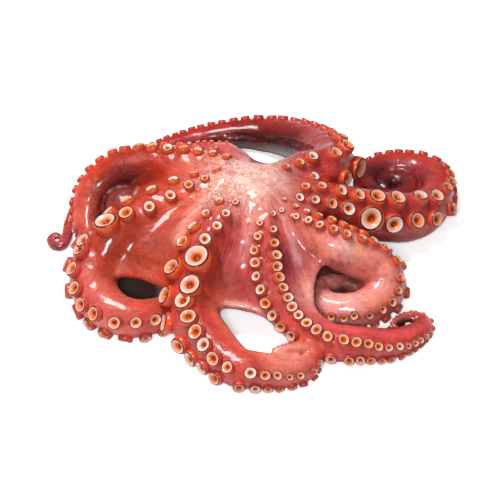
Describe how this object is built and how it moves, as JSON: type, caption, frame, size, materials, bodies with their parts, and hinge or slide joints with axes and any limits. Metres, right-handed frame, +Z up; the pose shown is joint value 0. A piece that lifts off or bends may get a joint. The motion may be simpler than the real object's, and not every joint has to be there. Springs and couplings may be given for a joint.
{
  "type": "raw octopus",
  "caption": "Whole raw octopus lying on its body with the mouth side up, its arms curling round it in rings with two rows of suckers, and skin stretched between the arms.",
  "frame": {"origin": "On the floor plane that the octopus lies on, in the middle of its bounding box.", "axes": "+Z is up, away from the floor, and the shortest extent. +X runs across the arms to the side of the tightly curled arms and is the longest extent. -Y is the front, where the two widest arms lie."},
  "size_m": [0.3368, 0.3236, 0.0758],
  "materials": {
    "raw_skin": "wet"
  },
  "bodies": {
    "root": {"octopus": "raw_skin"}
  },
  "joints": []
}
